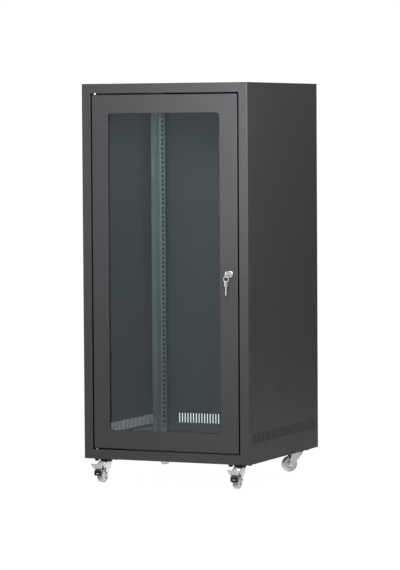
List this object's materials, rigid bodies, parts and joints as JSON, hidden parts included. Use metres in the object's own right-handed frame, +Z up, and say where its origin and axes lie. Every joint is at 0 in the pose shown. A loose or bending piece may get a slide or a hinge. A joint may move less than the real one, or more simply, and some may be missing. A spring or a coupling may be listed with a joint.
{
  "type": "network server rack cabinet",
  "caption": "Free-standing equipment cabinet on swivel castors, with a hinged glass front door, cam lock with keys, vented sheet-metal panels and rack rails inside.",
  "frame": {"origin": "on the floor under the centre of the cabinet body's footprint", "axes": "+X to the right seen from the front, +Y towards the back, +Z up"},
  "size_m": [0.56, 0.6104, 1.242],
  "materials": {
    "powder_coat": "fine-textured dark grey powder coat",
    "zinc_sheet": "zinc-plated sheet, satin",
    "zinc_fastener": "zinc-plated, semi-bright",
    "black_fastener": "blackened steel, satin",
    "bright_steel": "bright chrome plate",
    "nickel_key": "nickel plate, lightly worn",
    "clear_glass": "clear tempered float glass with polished edges",
    "black_rubber": "matt",
    "white_nylon": "natural nylon",
    "black_plate": "black electro-coat, satin",
    "chrome_fork": "bright zinc and chrome plate, polished",
    "white_hub": "translucent white polypropylene",
    "clear_tread": "clear polyurethane, glossy",
    "black_plastic": "fine-grained moulded plastic"
  },
  "bodies": {
    "cabinet": {"front_frame": "powder_coat", "rear_frame": "powder_coat", "top_panel": "powder_coat", "base_panel": "powder_coat", "side_panel_left": "powder_coat", "side_panel_right": "powder_coat", "back_panel": "powder_coat", "cable_covers": "powder_coat", "rail_front_left": "zinc_sheet", "rail_front_right": "zinc_sheet", "rail_rear_left": "zinc_sheet", "rail_rear_right": "zinc_sheet", "braces_left": "zinc_sheet", "braces_right": "zinc_sheet", "rail_screws": "zinc_fastener", "panel_screws": "black_fastener", "earth_stud": "zinc_fastener", "hinge_brackets": "zinc_sheet", "hinge_pins": "bright_steel", "caster_plate_front_left": "black_plate", "caster_plate_front_right": "black_plate", "caster_plate_rear_left": "black_plate", "caster_plate_rear_right": "black_plate", "caster_kingpins": "bright_steel", "caster_backing_plates": "zinc_sheet", "caster_bolts": "black_fastener"},
    "door": {"door_shell": "powder_coat", "window_glass": "clear_glass", "glass_gasket": "black_rubber", "glass_clips": "zinc_sheet", "clip_screws": "zinc_fastener", "lock_housing": "bright_steel", "lock_nut": "zinc_fastener", "door_bushes": "white_nylon"},
    "lock_cylinder": {"lock_plug": "bright_steel", "lock_cam": "bright_steel", "cam_screw": "zinc_fastener"},
    "key": {"key": "nickel_key"},
    "key_ring": {"key_ring": "nickel_key"},
    "spare_key": {"spare_key": "nickel_key"},
    "caster_front_left": {"caster_fork_front_left": "chrome_fork", "caster_axle_front_left": "bright_steel"},
    "wheel_front_left": {"caster_hub_front_left": "white_hub", "caster_tread_front_left": "clear_tread"},
    "brake_front_left": {"brake_lever_front_left": "chrome_fork", "brake_pedal_front_left": "black_plastic"},
    "caster_front_right": {"caster_fork_front_right": "chrome_fork", "caster_axle_front_right": "bright_steel"},
    "wheel_front_right": {"caster_hub_front_right": "white_hub", "caster_tread_front_right": "clear_tread"},
    "brake_front_right": {"brake_lever_front_right": "chrome_fork", "brake_pedal_front_right": "black_plastic"},
    "caster_rear_left": {"caster_fork_rear_left": "chrome_fork", "caster_axle_rear_left": "bright_steel"},
    "wheel_rear_left": {"caster_hub_rear_left": "white_hub", "caster_tread_rear_left": "clear_tread"},
    "caster_rear_right": {"caster_fork_rear_right": "chrome_fork", "caster_axle_rear_right": "bright_steel"},
    "wheel_rear_right": {"caster_hub_rear_right": "white_hub", "caster_tread_rear_right": "clear_tread"}
  },
  "joints": [
    {"name": "door_hinge", "type": "hinge", "parent": "cabinet", "child": "door", "pos_m": [-0.238, -0.275, 0.6585], "axis": [0, 0, -1], "range_deg": [0, 105]},
    {"name": "lock_turn", "type": "hinge", "parent": "door", "child": "lock_cylinder", "pos_m": [0.22, -0.283, 0.6585], "axis": [0, -1, 0], "range_deg": [0, 90]},
    {"name": "key_pull", "type": "slide", "parent": "lock_cylinder", "child": "key", "axis": [0, -1, 0], "range_m": [0, 0.03]},
    {"name": "ring_swing", "type": "hinge", "parent": "key", "child": "key_ring", "pos_m": [0.22, -0.315, 0.6526], "axis": [1, 0, 0], "range_deg": [-25, 15]},
    {"name": "spare_key_swing", "type": "hinge", "parent": "key_ring", "child": "spare_key", "pos_m": [0.22, -0.315, 0.6366], "axis": [1, 0, 0], "range_deg": [-20, 15]},
    {"name": "swivel_front_left", "type": "hinge", "parent": "cabinet", "child": "caster_front_left", "pos_m": [-0.228, -0.233, 0.065], "axis": [0, 0, 1], "continuous": true},
    {"name": "roll_front_left", "type": "hinge", "parent": "caster_front_left", "child": "wheel_front_left", "pos_m": [-0.228, -0.2615, 0.025], "axis": [1, 0, 0], "continuous": true},
    {"name": "brake_press_front_left", "type": "hinge", "parent": "caster_front_left", "child": "brake_front_left", "pos_m": [-0.228, -0.278, 0.05], "axis": [1, 0, 0], "range_deg": [0, 8]},
    {"name": "swivel_front_right", "type": "hinge", "parent": "cabinet", "child": "caster_front_right", "pos_m": [0.228, -0.233, 0.065], "axis": [0, 0, 1], "continuous": true},
    {"name": "roll_front_right", "type": "hinge", "parent": "caster_front_right", "child": "wheel_front_right", "pos_m": [0.23098, -0.26134, 0.025], "axis": [0.9945, 0.1045, 0], "continuous": true},
    {"name": "brake_press_front_right", "type": "hinge", "parent": "caster_front_right", "child": "brake_front_right", "pos_m": [0.2327, -0.27775, 0.05], "axis": [0.9945, 0.1045, 0], "range_deg": [0, 8]},
    {"name": "swivel_rear_left", "type": "hinge", "parent": "cabinet", "child": "caster_rear_left", "pos_m": [-0.228, 0.232, 0.065], "axis": [0, 0, 1], "continuous": true},
    {"name": "roll_rear_left", "type": "hinge", "parent": "caster_rear_left", "child": "wheel_rear_left", "pos_m": [-0.24983, 0.25032, 0.025], "axis": [-0.6428, -0.766, 0], "continuous": true},
    {"name": "swivel_rear_right", "type": "hinge", "parent": "cabinet", "child": "caster_rear_right", "pos_m": [0.228, 0.232, 0.065], "axis": [0, 0, 1], "continuous": true},
    {"name": "roll_rear_right", "type": "hinge", "parent": "caster_rear_right", "child": "wheel_rear_right", "pos_m": [0.2082, 0.2115, 0.025], "axis": [0.7193, -0.6947, 0], "continuous": true}
  ]
}
